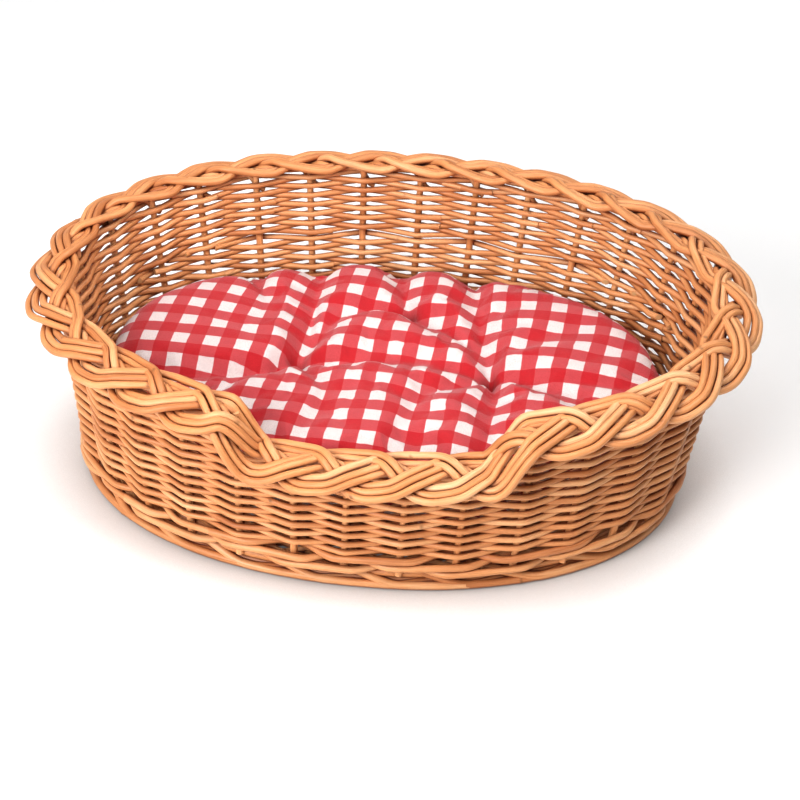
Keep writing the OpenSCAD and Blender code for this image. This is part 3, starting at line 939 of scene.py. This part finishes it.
def make_cushion(material):
    """Two cloths joined at a seam, blown up by pressure while the tufts and creases hold them down."""
    points, corners, around = cloth_grid(CUSHION_LENGTH, CUSHION_DEPTH, CLOTH_PITCH)
    n = len(points)
    edge = np.column_stack([points[:around], np.zeros(around)])
    inward, _ = near_line(points, np.vstack([edge, edge[:1]]))
    z_top, held, crease = held_top(points, inward)
    z_low = SEAM_HEIGHT + (CUSHION_BOTTOM - SEAM_HEIGHT) * quarter(inward / SIDE_REACH)
    lower = np.concatenate([np.arange(around), n + np.arange(n - around)])
    verts = np.concatenate([np.column_stack([points, z_top]), np.column_stack([points, z_low])[around:]])
    verts[:, :2] += CUSHION_CENTRE
    mesh = bpy.data.meshes.new("cushion")
    mesh.from_pydata((verts * MM).tolist(), [], np.concatenate([corners, lower[corners[:, ::-1]]]).tolist())
    obj = placed("cushion", mesh)
    steep = unit(points / np.array([CUSHION_LENGTH, CUSHION_DEPTH]) ** 2)
    flat_top = points + side_excess(inward, PUFF_TOP - SEAM_HEIGHT)[:, None] * steep
    flat_low = points + side_excess(inward, SEAM_HEIGHT - CUSHION_BOTTOM)[:, None] * steep
    flat = np.concatenate([flat_top[corners], flat_low[corners[:, ::-1]]]).reshape(-1, 2)
    cloth_place = mesh.attributes.new("cloth", "FLOAT_VECTOR", "CORNER")
    cloth_place.data.foreach_set("vector", np.column_stack([flat, np.zeros(len(flat))]).ravel())
    held_points = np.concatenate([np.nonzero(held)[0], lower[inward > SIDE_REACH]])
    hold(obj, "held", held_points, np.ones(len(held_points)))
    gathered = np.exp(-(crease / GATHER_REACH) ** 2)
    hold(obj, "no_slack", np.arange(len(verts)), np.concatenate([gathered, np.ones(n - around)]))
    local = trimmed(blown_up(obj), np.concatenate([inward, inward[around:]]))
    mesh.vertices.foreach_set("co", (local * MM).ravel())
    mesh.polygons.foreach_set("use_smooth", np.ones(len(mesh.polygons), bool))
    mesh.materials.append(material)
    mesh.update()
    sub = obj.modifiers.new("Subdivision", "SUBSURF")
    sub.levels = sub.render_levels = 1
    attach(obj, "cushion")
    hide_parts("cushion_bottom_panel", "cushion_top_panel", "cushion_filling")


CHECK = 25.5          # one red and one white stripe, on the flat cloth
CLOTH_TURN = 2.0      # degrees between the stripes and the cushion's length
STRIPE_EDGE = 0.25    # softness of a stripe's edge


def stripe(tree, value, shift):
    """1 in the red stripes and 0 in the white ones."""
    moved = computed(tree, "ADD", value, shift + 100 * CHECK)
    off = computed(tree, "SUBTRACT", computed(tree, "MODULO", moved, CHECK), CHECK / 2)
    return span(tree, computed(tree, "ABSOLUTE", off), CHECK / 4 - STRIPE_EDGE, CHECK / 4 + STRIPE_EDGE)


def gingham():
    """Woven check: white and red stripes both ways, with the plain weave's threads."""
    mat, tree, shader = nodes_of("gingham_cotton")
    place = mapped(tree, attribute(tree, "cloth", "Vector"), "Rotation", (0, 0, math.radians(CLOTH_TURN)))
    axes = add(tree, "ShaderNodeSeparateXYZ")
    tree.links.new(place, axes.inputs[0])
    red = computed(tree, "ADD", stripe(tree, axes.outputs["X"], 3.0), stripe(tree, axes.outputs["Y"], 6.0))
    both_ways = []
    for direction in ("X", "Y"):
        thread = add(tree, "ShaderNodeTexWave", {"Scale": 0.55, "Distortion": 0.6, "Detail": 1.0},
                     bands_direction=direction)
        tree.links.new(place, thread.inputs["Vector"])
        both_ways.append(thread.outputs["Fac"])
    threads = computed(tree, "MULTIPLY", *both_ways)
    shade = ramp(tree, span(tree, red, 0.0, 2.0),
                 ((0.0, (0.68, 0.59, 0.575)), (0.5, (0.48, 0.060, 0.068)), (1.0, (0.45, 0.013, 0.020))))
    worn, nubs = noise(tree, place, 0.25), noise(tree, place, 1.1, 2.0, 0.7)
    # painted shade: cloth deep between the rods and the wall, where little light reaches, is darkened to a
    # dark brown
    for share, value, stops in (
            (0.35, worn, ((0.3, (0.86, 0.84, 0.84)), (0.6, WHITE))),
            (1.0, nubs, ((0.30, (0.84, 0.76, 0.76)), (0.56, (1.03, 1.04, 1.04)))),
            (0.30, threads, ((0.0, (0.80, 0.78, 0.78)), (0.4, WHITE))),
            (1.0, openness(tree, 0.03, 6), ((0.15, (0.30, 0.15, 0.10)), (0.55, WHITE)))):
        shade = mixed(tree, "MULTIPLY", share, shade, ramp(tree, value, stops))
    tree.links.new(shade, shader.inputs["Base Color"])
    set_inputs(shader, {"Roughness": 0.82, "Sheen Weight": 0.18, "Sheen Roughness": 0.5,
                        "Specular IOR Level": 0.25})
    roughen(tree, shader, threads, 0.35)
    return mat


STITCH_REACH, STITCH_ARCH, STITCH_D = 3, 1.4, 1.2
STITCH_Z = 1.5        # height of its ends above the bottom of the tuft


def make_ties():
    """Tufting thread: a small crossed stitch at the bottom of each tuft."""
    mat, _, shader = nodes_of("tufting_thread")
    set_inputs(shader, {"Base Color": (0.80, 0.42, 0.42, 1), "Roughness": 0.8})
    bundle = Bundle("tuft_stitches", 71)
    t = np.linspace(-1, 1, 9)
    for tuft in TUFTS:
        for turn in (0.6, 2.2):
            x, y = STITCH_REACH * t * math.cos(turn), STITCH_REACH * t * math.sin(turn)
            stitch = tuft + np.column_stack([x, y, STITCH_Z + STITCH_ARCH * (1 - t * t)])
            stitch[:, :2] += CUSHION_CENTRE
            bundle.rod(stitch, STITCH_D / 2, UP, sides=6, knots=0)
    bundle.make("cushion", mat, "cushion_ties")


make_cushion(gingham())
make_ties()

# ---- Room, light and camera, in metres ----
FLOOR_REACH = 6.0
FLOOR_SHADE, FLOOR_PALE = (0.44, 0.405, 0.38), (0.87, 0.867, 0.865)
SIDE_GLOW, FAR_GLOW = 0.74, 0.12      # the studio's light on the left and on the right
TARGET = Vector((0.00807, 0.0018, 0.08))
ELEVATION, AZIMUTH, DISTANCE = math.radians(35.724), math.radians(9.084), 1.74487
FOCAL_LENGTH, SHIFT_UP = 94.73, -0.0271


def make_floor():
    mesh = bpy.data.meshes.new("floor")
    corners = [(x * FLOOR_REACH, y * FLOOR_REACH, 0) for x, y in ((-1, -1), (1, -1), (1, 1), (-1, 1))]
    mesh.from_pydata(corners, [], [(0, 1, 2, 3)])
    mat, tree, shader = nodes_of("pale_floor")
    # a painted contact shadow: the floor is darker where the basket stands
    shade = ramp(tree, openness(tree, 0.085, 8), ((0.35, FLOOR_SHADE), (0.86, FLOOR_PALE)))
    tree.links.new(shade, shader.inputs["Base Color"])
    set_inputs(shader, {"Roughness": 0.9, "Emission Color": (*WHITE, 1), "Emission Strength": 0.10})
    mesh.materials.append(mat)
    placed("floor", mesh)


def make_world():
    world = bpy.data.worlds.new("studio")
    bpy.context.scene.world = world
    world.use_nodes = True
    tree = world.node_tree
    background = tree.nodes["Background"]
    background.inputs["Color"].default_value = (*WHITE, 1)
    around = add(tree, "ShaderNodeTexCoord")
    split = add(tree, "ShaderNodeSeparateXYZ")
    tree.links.new(around.outputs["Generated"], split.inputs["Vector"])
    glow = span(tree, split.outputs["X"], -0.8, 0.8, SIDE_GLOW, FAR_GLOW)
    tree.links.new(glow, background.inputs["Strength"])


def area(name, place, aim, size, power, spread=180):
    light = bpy.data.lights.new(name, "AREA")
    light.shape = "DISK"
    light.size = size
    light.energy = power
    light.spread = math.radians(spread)
    obj = placed(name, light)
    obj.location = place
    obj.rotation_euler = (Vector(aim) - Vector(place)).to_track_quat("-Z", "Y").to_euler()


def make_camera():
    level = math.cos(ELEVATION)
    away = Vector((math.sin(AZIMUTH) * level, -math.cos(AZIMUTH) * level, math.sin(ELEVATION)))
    lens = bpy.data.cameras.new("camera")
    lens.sensor_width = 36
    lens.lens = FOCAL_LENGTH
    lens.shift_y = SHIFT_UP
    lens.clip_start, lens.clip_end = 0.05, 50
    camera = placed("camera", lens)
    camera.location = TARGET + away * DISTANCE
    camera.rotation_euler = (-away).to_track_quat("-Z", "Y").to_euler()
    bpy.context.scene.camera = camera


make_floor()
make_world()
area("key", (-0.9, -1.65, 1.2), (0, 0, 0.08), 1.2, 46)
area("top", (0.0, -0.3, 2.2), (0, 0, 0.08), 1.8, 13)
area("inner", (0.42, -0.25, 1.0), (-0.2, 0.04, 0.1), 0.5, 1.0, spread=60)
area("back", (0.8, 1.0, 1.7), (0, 0, 0.1), 1.2, 12)
make_camera()
bpy.context.scene.view_settings.view_transform = "Standard"
bpy.context.scene.view_settings.gamma = 0.88
